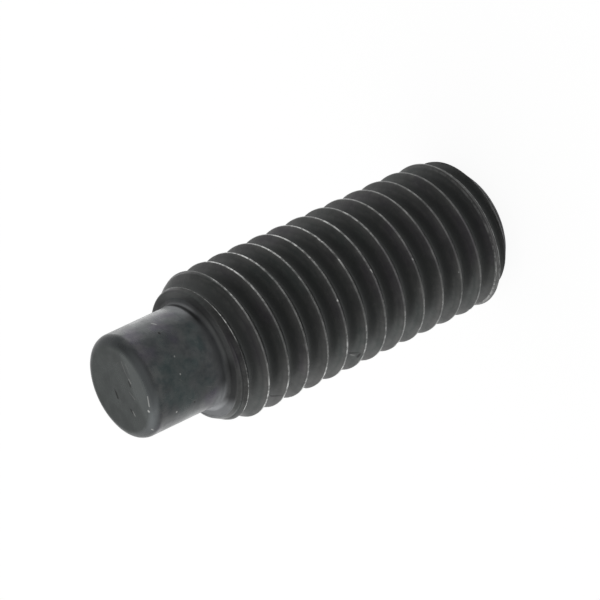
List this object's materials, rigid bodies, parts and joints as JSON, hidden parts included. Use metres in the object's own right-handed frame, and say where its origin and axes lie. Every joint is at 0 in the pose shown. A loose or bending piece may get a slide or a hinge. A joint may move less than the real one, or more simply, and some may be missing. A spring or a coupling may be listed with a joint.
{
  "type": "grub set screw",
  "caption": "Headless set screw with a right-hand metric thread, a cylindrical dog point and a hexagon socket in its other end.",
  "frame": {"origin": "centre of the flat rim round the hexagon socket, on which the screw stands", "axes": "+Z runs along the screw's axis towards the dog point's tip, and +X points to a corner of the hexagon socket"},
  "size_m": [0.008, 0.008, 0.0226],
  "materials": {
    "black_oxide_steel": "black oxide over machined and rolled steel, satin, with bare edges on the thread crests"
  },
  "bodies": {
    "root": {"set_screw": "black_oxide_steel"}
  },
  "joints": []
}
